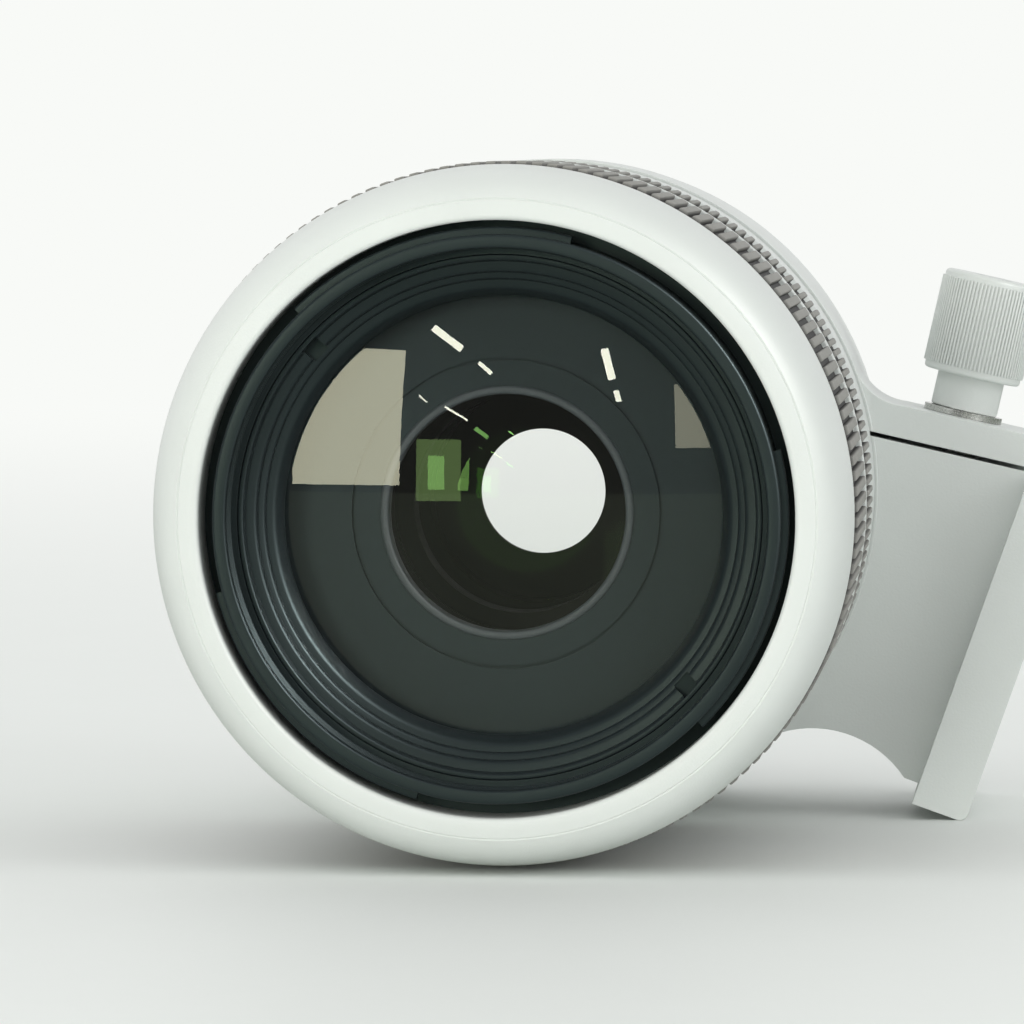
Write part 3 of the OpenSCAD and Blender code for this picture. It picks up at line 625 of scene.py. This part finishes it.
class LENS_OT_front_cowl(bpy.types.Operator):
    """White flared ring at the front"""

    bl_idname = "lens.front_cowl"
    bl_label = "Front cowl"

    def execute(self, context):
        rear, front = rear_of("front_cowl"), front_of("front_cowl")
        wide, mouth = radius_of("front_cowl"), radius_of("filter_ring") + 0.8
        tube, seat = radius_of("extension_tube") + 0.05, front_of("extension_tube")
        bm = turned([
            (mouth, seat), (mouth, front - 0.4, 0.25), (mouth + 0.4, front, 0.25),
            (mouth + 1.5, front - 0.05), (mouth + 2.5, front - 0.35),
            (mouth + 2.6, front - 0.5), (mouth + 2.8, front - 0.45),
            (mouth + 3.6, front - 1.0), (mouth + 4.5, front - 2.0), (mouth + 5.2, front - 3.2),
            (mouth + 5.8, front - 4.7), (mouth + 6.3, front - 6.5),
            (wide - 0.25, front - 8.6), (wide - 0.05, front - 10.6), (wide, rear + 2.0), (wide, rear, 0.4),
            (wide - 1.6, rear), (wide - 2.6, rear + 2.2), (tube + 1.9, rear + 8), (tube + 1.6, rear + 0.4),
            (tube, rear + 0.4), (tube, seat),
        ])
        piece("flared_cowl", bm, white_paint(), "front_group", "white_paint", "front_cowl")
        return {"FINISHED"}


class LENS_OT_filter_ring(bpy.types.Operator):
    """Black ring with the filter thread and the hood lugs"""

    bl_idname = "lens.filter_ring"
    bl_label = "Filter ring"

    def execute(self, context):
        rear, front = rear_of("filter_ring"), front_of("filter_ring")
        inner = radius_of("front_retaining_ring") + 0.05
        crest, floor = inner + 0.75, front_of("front_retaining_ring")
        outer, lug = radius_of("front_cell"), radius_of("filter_ring")
        pitch = context.scene.lens_sizes.thread_pitch / MM
        outline = [(inner, rear), (outer, rear), (outer, front, 0.4), (crest + 0.1, front, 0.3)]
        for turn in range(int((front - 0.9 - floor) / pitch)):
            top = front - 0.9 - turn * pitch
            outline += [(crest, top), (crest + 0.35, top - 0.4 * pitch), (crest, top - 0.8 * pitch)]
        outline += [(crest, floor), (inner, floor)]
        lugs = [
            sector([
                (outer - 0.3, front - 3.3), (lug, front - 3.3, 0.2), (lug, front - 1.5, 0.3),
                (outer - 0.3, front - 1.5),
            ], start, 59)
            for start in (-45, -165, 75)
        ]
        bm = merged(turned(outline), *lugs)
        piece("filter_and_hood_ring", bm, slate_black(), "front_group", "black_metal", "filter_ring")
        return {"FINISHED"}


class LENS_OT_retaining_ring(bpy.types.Operator):
    """Stepped black ring over the front glass, with two spanner notches"""

    bl_idname = "lens.retaining_ring"
    bl_label = "Retaining ring"

    def execute(self, context):
        foot, top = rear_of("front_retaining_ring"), front_of("front_retaining_ring")
        outer, hole = radius_of("front_retaining_ring"), radius_of("front_element") - 1.6
        bm = turned([
            (outer, foot), (outer, top, 0.15), (outer - 0.7, top, 0.3), (outer - 0.9, top - 1.6),
            (outer - 2.2, top - 1.8, 0.45), (outer - 2.3, top - 3.0), (outer - 3.1, top - 3.2, 0.35),
            (outer - 3.2, top - 4.0), (outer - 4.2, top - 4.2, 0.4),
            (hole, foot + 0.7), (hole, foot),
        ])
        notches = []
        for turn in (138, 318):
            notch = block((outer - 2.6, -top - 0.6, -1.2), (outer - 0.6, 3.4 - top, 1.2))
            bmesh.ops.rotate(notch, verts=notch.verts, matrix=Matrix.Rotation(-math.radians(turn), 3, "Y"))
            notches.append(notch)
        piece(
            "stepped_retaining_ring", carved(bm, *notches), slate_black(), "front_group", "black_metal",
            "front_retaining_ring",
        )
        return {"FINISHED"}


class LENS_OT_mask(bpy.types.Operator):
    """Front cell with the slate mask behind the front glass"""

    bl_idname = "lens.mask"
    bl_label = "Front cell and mask"

    def execute(self, context):
        rear, outer = rear_of("front_cell"), radius_of("front_cell")
        glass_rim, seat = radius_of("front_element") + 0.05, rear_of("front_element") - 0.9
        shoulder, lip = rear_of("filter_ring"), radius_of("front_retaining_ring") - 0.35
        plate, opening, groove = seat - 0.6, 15.0, 19.5
        cell = turned([
            (glass_rim, rear), (outer, rear), (outer, shoulder), (lip, shoulder),
            (lip, front_of("front_cell")), (glass_rim, front_of("front_cell")),
        ])
        mask = turned([
            (glass_rim + 0.5, plate - 1.8), (glass_rim + 0.5, plate), (groove + 0.2, plate),
            (groove + 0.2, plate - 0.5), (groove - 0.2, plate - 0.5), (groove - 0.2, plate),
            (opening + 1.0, plate), (opening + 1.0, plate - 1.8),
        ])
        rim = turned([
            (opening, plate - 3.0), (opening + 1.1, plate - 3.0), (opening + 1.1, plate + 0.4, 0.5),
            (opening, plate + 0.4, 0.5),
        ])
        piece("mask_rim", rim, ink("Worn mask rim", (0.07, 0.085, 0.09)), "front_group", "black_metal")
        bm = merged(cell, mask)
        piece("front_cell_and_mask", bm, slate_mask(), "front_group", "black_metal", "front_cell")
        return {"FINISHED"}


class LENS_OT_lens_glass(bpy.types.Operator):
    """Coated lenses from the front to the rear"""

    bl_idname = "lens.lens_glass"
    bl_label = "Lenses"

    def execute(self, context):
        looks = context.scene.lens_finishes
        clear = glass("Clear glass", (1.0, 1.0, 1.0), 0.0)
        front = glass("Front glass", (0.95, 0.95, 0.86), 0.05)
        green = glass("Green coated glass", looks.green_coating, 0.035)
        amber = glass("Amber coated glass", looks.amber_coating, 0.006)
        for name, node, body, surface, front_dome, rear_dome, swell in (
            ("front_lens", "front_element", "front_group", front, FRONT_DOME, 0.3, 0.0),
            ("variator_lens", "variator_element", "zoom_group", green, 1.2, 0.6, 0.7),
            ("focus_lens", "focus_element", "focus_group", amber, 1.2, 0.6, 0.0),
            ("stabiliser_lens", "stabiliser_element", "stabiliser_lift", clear, 1.4, 0.8, 0.0),
            ("rear_lens", "rear_element", "lens_body", amber, 1.6, 1.2, 0.0),
        ):
            rear = rear_of(node) + rear_dome
            edge = front_of(node) - front_dome - rear
            bm = lens(radius_of(node), rear, edge, front_dome + swell, rear_dome)
            piece(name, bm, (surface, clear), body, "lens_glass", node)
        return {"FINISHED"}


class LENS_OT_grips(bpy.types.Operator):
    """Ribbed rubber of the zoom ring and the focus ring"""

    bl_idname = "lens.grips"
    bl_label = "Grips"

    def execute(self, context):
        sizes = context.scene.lens_sizes
        for name, node, body, count, share, lip in (
            ("zoom_grip_ribs", "zoom_grip", "zoom_ring", sizes.zoom_ribs, 0.62, 2.5),
            ("focus_grip_ribs", "focus_grip", "focus_ring", sizes.focus_ribs, 0.55, 0.6),
        ):
            rear, front, top = rear_of(node), front_of(node), radius_of(node)
            floor, inner = top - sizes.rib_height / MM, top - 1.35
            smooth = turned([
                (inner + 0.1, front - lip), (top - 0.6, front - lip), (top - 0.6, front, 0.4),
                (inner + 0.1, front),
            ])
            ribs = ribbed(count, floor, top - floor, share, rear, front - 0.1, 0.5, inner)
            # Painted shade darkens this rubber into its grooves
            rubber = dusty_rubber_with_painted_shade(body.capitalize().replace("_", " ") + " rubber", floor, top)
            piece(name, merged(ribs, smooth), rubber, body, "grip_rubber", node)
        return {"FINISHED"}


class LENS_OT_casing(bpy.types.Operator):
    """White rear barrel, ridge of the zoom ring and the black rings between the grips"""

    bl_idname = "lens.casing"
    bl_label = "Casing"

    def execute(self, context):
        dress(white_paint(), "rear_barrel", "zoom_sleeve")
        rear, top = rear_of("zoom_sleeve"), radius_of("zoom_grip")
        width, root = 1.1, top - 1.5
        ridge = turned([(root, rear), (top, rear, 0.3), (top, rear + width, 0.3), (root, rear + width)])
        piece("zoom_ridge", ridge, white_paint(), "zoom_ring", "white_paint")
        dress(slate_black(), "middle_ring", "focus_sleeve", "extension_tube")
        return {"FINISHED"}


class LENS_OT_collar(bpy.types.Operator):
    """Tripod collar with its foot, strap, hinge pin and socket"""

    bl_idname = "lens.collar"
    bl_label = "Tripod collar"

    def execute(self, context):
        soft = context.scene.lens_sizes.edge_round / MM
        foot, strap = softened("collar_foot", soft), softened("collar_strap", soft)
        piece("collar_with_foot", foot, white_paint(), "collar", "white_paint", "collar_foot", sharp=15)
        piece("strap_with_ear", strap, white_paint(), "strap", "white_paint", "collar_strap", sharp=15)
        dress(bare_steel(), "hinge_pin", "clamp_screw", "clamp_washer")
        dress(plain_metal("Brass insert", (0.78, 0.57, 0.27), 0.22, 0.4), "socket_insert")
        return {"FINISHED"}


class LENS_OT_clamp_knob(bpy.types.Operator):
    """Knurled knob on a neck, on the collar's ear"""

    bl_idname = "lens.clamp_knob"
    bl_label = "Clamp knob"

    def execute(self, context):
        neck, head, top, rim, stem = 5.5, 10.2, 24.1, 6.65, 4.6
        count = context.scene.lens_sizes.knob_ribs
        bm = merged(
            ribbed(count, rim - 0.05, 0.33, 0.6, head + 0.5, top - 0.5, 0.5, 3.0, 0.08),
            turned([(2.6, head), (rim, head, 0.5), (rim, top, 0.6), (2.6, top)], 96),
            turned([(2.3, neck), (stem, neck, 0.3), (stem, head + 0.3), (2.3, head + 0.3)], 64),
            lens(2.8, top - 0.8, 0.7, 0.08, 0.05),
        )
        joint = next(j for j in frame["joints"] if j["name"] == "clamp_turn")
        turn = Vector((0, -1, 0)).rotation_difference(Vector(joint["axis"])).to_matrix()
        bmesh.ops.rotate(bm, verts=bm.verts, cent=(0, 0, 0), matrix=turn)
        bmesh.ops.translate(bm, verts=bm.verts, vec=Vector(joint["pos_m"]))
        piece("knurled_knob", bm, white_paint(), "clamp", "white_paint", "clamp_knob", sharp=40)
        return {"FINISHED"}


class LENS_OT_mount(bpy.types.Operator):
    """Camera mount with its screws, gasket and contacts"""

    bl_idname = "lens.mount"
    bl_label = "Camera mount"

    def execute(self, context):
        dress(turned_metal("Turned mount chrome", (0.72, 0.71, 0.69), 0.12, 0.3), "bayonet_mount")
        dress(plain_metal("Dark screw steel", (0.30, 0.30, 0.30), 0.25, 0.4), "mount_screws")
        # The gasket takes the rubber's painted shade, darker towards the axis from 60 to 20 mm
        dress(dusty_rubber_with_painted_shade("Gasket rubber", 20.0, 60.0), "mount_gasket")
        dress(black_plastic(), "contact_block")
        dress(plain_metal("Gold contacts", (0.9, 0.68, 0.3), 0.15, 0.3), "contact_pins")
        return {"FINISHED"}


class LENS_OT_distance_scale(bpy.types.Operator):
    """Distance window, and the drum with numbers under it"""

    bl_idname = "lens.distance_scale"
    bl_label = "Distance scale"

    def execute(self, context):
        dress(glass("Window pane", (0.9, 0.9, 0.9), 0.02), "distance_window")
        dress(black_plastic(), "scale_drum")
        rear, front = rear_of("distance_window"), front_of("distance_window")
        radius, middle = radius_of("scale_drum"), (rear + front) / 2
        # Degrees round the drum, so that its turn brings each number under the window
        first, step = 10, 16
        numbers = []
        for place, number in enumerate(("1.5", "2", "3", "5", "10", "30")):
            bm = lettering(number, 3.2)
            for v in bm.verts:
                at = math.radians(first + step * place) + v.co.x / (radius * MM)
                v.co = on_ring(radius + INK_HEIGHT, middle + 1.0 + v.co.y / MM, at)
            numbers.append(bm)
        piece("distance_numbers", merged(*numbers), white_ink(), "distance_scale", "white_paint")
        return {"FINISHED"}


class LENS_OT_switches(bpy.types.Operator):
    """Switch panel with three slide switches and their marks"""

    bl_idname = "lens.switches"
    bl_label = "Switches"

    def execute(self, context):
        low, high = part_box("switch_panel")
        dress(black_plastic(), "switch_panel")
        marks, mark_height, mark_inset = [], 1.4, 1.7
        for node, body, texts in (
            ("focus_switch", "focus_mode", ("1", "2")),
            ("stabiliser_switch", "stabiliser_mode", ("ON", "OFF")),
            ("mode_switch", "panning_mode", ("1", "2")),
        ):
            first, last = (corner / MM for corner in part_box(node))
            ridges = [
                block((last.x - 0.5, y - 0.2, first.z + 0.1), (last.x, y + 0.2, last.z - 0.1), 0.1)
                for y in (first.y + 1.0, first.y + 2.2, first.y + 3.4)
            ]
            slide = block(first, (last.x - 0.35, last.y, last.z), 0.25)
            name = node.replace("switch", "slide")
            piece(name, merged(slide, *ridges), black_plastic(), body, "black_plastic", node)
            for text, y in zip(texts, (low.y / MM + mark_inset, high.y / MM - mark_inset)):
                bm = lettering(text, mark_height)
                middle = (first.z + last.z) / 2
                for v in bm.verts:
                    v.co = Vector((high.x + INK_HEIGHT * MM, y * MM + v.co.x, middle * MM + v.co.y))
                marks.append(bm)
        piece("switch_marks", merged(*marks), white_ink(), "lens_body", "white_paint")
        return {"FINISHED"}


class LENS_OT_inside(bpy.types.Operator):
    """Finishes of the cells, barrels, iris, stabiliser, motor and board inside"""

    bl_idname = "lens.inside"
    bl_label = "Inside"

    def execute(self, context):
        dress(
            matt_black(), "inner_barrel", "iris_housing", "iris_drive_ring", "rear_cell", "variator_cell",
            "focus_cell", "stabiliser_base", "stabiliser_frame", "stabiliser_cell",
            *(node for node in frame["nodes"] if node.startswith("iris_blade")),
        )
        dress(bare_steel(), "guide_rods", "cam_rollers", "zoom_key")
        dress(plain_metal("Dark motor metal", (0.2, 0.2, 0.21), 0.3, 0.45), "focus_motor")
        dress(turned_metal("Grey turned alloy", (0.45, 0.45, 0.46), 0.3, 0.45), "guide_barrel", "cam_tube")
        dress(circuit(), "circuit_board")
        return {"FINISHED"}


# Stage

def view_direction(settings):
    """Unit vector along the camera's view."""
    yaw, dip = settings.camera_yaw, settings.camera_dip
    return Vector((-math.sin(yaw) * math.cos(dip), math.cos(yaw) * math.cos(dip), -math.sin(dip)))


def soft_lamp(name, place, size, energy):
    """Square lamp that shines at the lens."""
    data = bpy.data.lights.new(name, "AREA")
    data.size, data.energy = size, energy
    lamp = bpy.data.objects.new(name, data)
    lamp.location = place
    lamp.rotation_euler = (-lamp.location).to_track_quat("-Z", "Y").to_euler()
    bpy.context.scene.collection.objects.link(lamp)
    return lamp


def reflected_lamp(name, spot, size, energy, tint, roll=0.0, far=2.0):
    """Lamp that the camera sees mirrored in the front glass. Spot and size are millimetres on the glass."""
    apex, rim = front_of("front_element"), radius_of("front_element")
    ball = (rim ** 2 + FRONT_DOME ** 2) / (2 * FRONT_DOME)
    depth = math.sqrt(ball * ball - spot[0] ** 2 - spot[1] ** 2)
    at = Vector((spot[0], -(apex - ball + depth), spot[1])) * MM
    normal = Vector((spot[0], -depth, spot[1])).normalized()
    seen = (at - Vector(bpy.context.scene.lens_stage.camera_place)).normalized()
    away = seen.reflect(normal)
    data = bpy.data.lights.new(name, "AREA")
    data.shape = "RECTANGLE"
    data.size, data.size_y = (2 * far * s / ball + s * MM * VIEW_SPREAD for s in size)
    data.energy = energy * math.pi * data.size * data.size_y
    data.color = tint
    data.diffuse_factor = 0.0
    lamp = bpy.data.objects.new(name, data)
    lamp.location = at + away * far
    aim = (-away).to_track_quat("-Z", "Y") @ Matrix.Rotation(math.radians(roll), 3, "Z").to_quaternion()
    lamp.rotation_euler = aim.to_euler()
    bpy.context.scene.collection.objects.link(lamp)
    return lamp


class LENS_OT_stage(bpy.types.Operator):
    """Camera, table and soft light"""

    bl_idname = "lens.stage"
    bl_label = "Stage"

    def execute(self, context):
        scene, settings = context.scene, context.scene.lens_stage
        scene.view_settings.view_transform = "Standard"
        scene.cycles.transparent_max_bounces = 32

        data = bpy.data.cameras.new("Camera")
        data.lens = settings.focal_length
        data.sensor_width = 36.0
        data.clip_start = 0.05
        camera = bpy.data.objects.new("Camera", data)
        camera.location = settings.camera_place
        camera.rotation_euler = view_direction(settings).to_track_quat("-Z", "Y").to_euler()
        scene.collection.objects.link(camera)
        scene.camera = camera

        bm = bmesh.new()
        bmesh.ops.create_grid(bm, x_segments=1, y_segments=1, size=6.0)
        bmesh.ops.translate(bm, verts=bm.verts, vec=(0, 0, CAD_BOX[0].z))
        mesh = bpy.data.meshes.new("Table")
        bm.to_mesh(mesh)
        bm.free()
        mesh.materials.append(self.table(settings))
        table = bpy.data.objects.new("Table", mesh)
        scene.collection.objects.link(table)

        self.sky(scene, settings)
        key = soft_lamp("Soft key", (-1.1, -0.9, 1.7), 1.6, 2.5)
        key.data.specular_factor = 0.3
        side = soft_lamp("Side window", (1.5, -0.75, 0.45), 0.7, 2.8)
        side.data.specular_factor = 2.0
        fill = soft_lamp("Low fill", (-0.31, -1.47, 0.0), 0.35, 7.0)
        fill.visible_glossy = False
        gleam = soft_lamp("Ring gleam", (1.0, -0.9, 0.7), 0.5, 24.0)
        gleam.visible_diffuse = False
        warm, pale = (1.0, 0.98, 0.80), (1.0, 1.0, 0.92)
        moss, leaf = (0.62, 1.0, 0.37), (0.45, 1.0, 0.28)
        lamps = [
            reflected_lamp("Window", (-19.6, 12.4), (14.0, 17.0), 6.9, warm),
            reflected_lamp("Far window", (24.0, 12.5), (5.0, 8.0), 3.0, warm),
            reflected_lamp("Green inner window", (-8.0, 5.7), (5.7, 7.7), 1.9, moss),
            reflected_lamp("Green inner glow", (-8.3, 5.4), (2.1, 4.2), 3.8, leaf, far=1.97),
            reflected_lamp("Green inner tube", (-2.6, 10.4), (0.5, 2.0), 6.0, leaf, 55.0),
        ]
        lamps += [
            reflected_lamp("Tube lamp", spot, size, 18.0, pale, roll)
            for spot, size, roll in (
                ((-7.0, 22.2), (0.9, 4.6), 55.0),
                ((-2.2, 18.5), (0.5, 2.2), 50.0),
                ((13.2, 19.0), (1.0, 4.0), 14.0),
                ((14.4, 15.0), (0.7, 1.5), 14.0),
                ((-10.0, 14.6), (0.22, 1.4), 55.0),
                ((-5.8, 12.8), (0.28, 3.4), 60.0),
            )
        ]
        return {"FINISHED"}

    def table(self, settings):
        """Pale table that fades into the backdrop behind the lens, with a painted reflection for glossy rays.
        """
        def build(tree):
            place = add(tree, "SeparateXYZ", {"Vector": place_on(tree)}).outputs["Y"]
            top = blend(tree, noise(tree, 30.0, 3.0), rgba(settings.floor, 0.985), rgba(settings.floor))
            near = coated(tree, top, between(tree, noise(tree, 200.0), 0.5, 0.6))
            far = add(tree, "Emission", {"Color": rgba(settings.backdrop)}).outputs["Emission"]
            fade = ramp(tree, place, -0.1, 1.5)
            seen = add(tree, "MixShader", {0: fade, 1: near, 2: far}).outputs["Shader"]
            # Painted reflection: glossy rays see a fixed glowing colour in place of the lit table
            mirrored = add(tree, "Emission", {"Color": rgba(settings.table_painted_reflection)}).outputs["Emission"]
            glossy = add(tree, "LightPath").outputs["Is Glossy Ray"]
            return add(tree, "MixShader", {0: glossy, 1: seen, 2: mirrored}).outputs["Shader"]
        return finish("Pale table", build)

    def sky(self, scene, settings):
        """Even light, with the dimmer room seen in reflections and the backdrop seen by the camera."""
        world = bpy.data.worlds.new("Soft room")
        world.use_nodes = True
        scene.world = world
        tree = world.node_tree
        tree.nodes.clear()
        path = add(tree, "LightPath")
        way = add(tree, "SeparateXYZ", {"Vector": place_on(tree)}).outputs["Y"]
        room = between(tree, ramp(tree, way, -0.1, 0.8), settings.room, 1.0)
        lit = blend(tree, path.outputs["Is Glossy Ray"], rgba(settings.ambient), room)
        seen = blend(tree, path.outputs["Is Camera Ray"], lit, rgba(settings.backdrop))
        light = add(tree, "Background", {"Color": seen}).outputs["Background"]
        add(tree, "OutputWorld", {"Surface": light})


class LENS_PT_lens(bpy.types.Panel):
    """Settings and pieces of the lens"""

    bl_label = "Telephoto zoom lens"
    bl_space_type = "VIEW_3D"
    bl_region_type = "UI"
    bl_category = "Lens"

    def draw(self, context):
        for group in (context.scene.lens_sizes, context.scene.lens_finishes, context.scene.lens_stage):
            box = self.layout.box()
            for name in group.bl_rna.properties.keys():
                if name not in {"rna_type", "name"}:
                    box.prop(group, name)
        for operator in OPERATORS:
            self.layout.operator(operator.bl_idname)


OPERATORS = (
    LENS_OT_front_cowl, LENS_OT_filter_ring, LENS_OT_retaining_ring, LENS_OT_mask, LENS_OT_lens_glass,
    LENS_OT_grips, LENS_OT_casing, LENS_OT_collar, LENS_OT_clamp_knob, LENS_OT_mount, LENS_OT_distance_scale,
    LENS_OT_switches, LENS_OT_inside, LENS_OT_stage,
)
GROUPS = {"lens_sizes": LensSizes, "lens_finishes": LensFinishes, "lens_stage": LensStage}


def register():
    """Make the settings, the operators and the panel known."""
    for name, group in GROUPS.items():
        bpy.utils.register_class(group)
        setattr(bpy.types.Scene, name, bpy.props.PointerProperty(type=group))
    for operator in OPERATORS:
        bpy.utils.register_class(operator)
    bpy.utils.register_class(LENS_PT_lens)


def unregister():
    """Take them away again."""
    bpy.utils.unregister_class(LENS_PT_lens)
    for operator in reversed(OPERATORS):
        bpy.utils.unregister_class(operator)
    for name, group in GROUPS.items():
        delattr(bpy.types.Scene, name)
        bpy.utils.unregister_class(group)


def main():
    """Build the lens and its stage."""
    register()
    bpy.ops.lens.front_cowl()
    bpy.ops.lens.filter_ring()
    bpy.ops.lens.retaining_ring()
    bpy.ops.lens.mask()
    bpy.ops.lens.lens_glass()
    bpy.ops.lens.grips()
    bpy.ops.lens.casing()
    bpy.ops.lens.collar()
    bpy.ops.lens.clamp_knob()
    bpy.ops.lens.mount()
    bpy.ops.lens.distance_scale()
    bpy.ops.lens.switches()
    bpy.ops.lens.inside()
    bpy.ops.lens.stage()


if __name__ == "__main__":
    main()
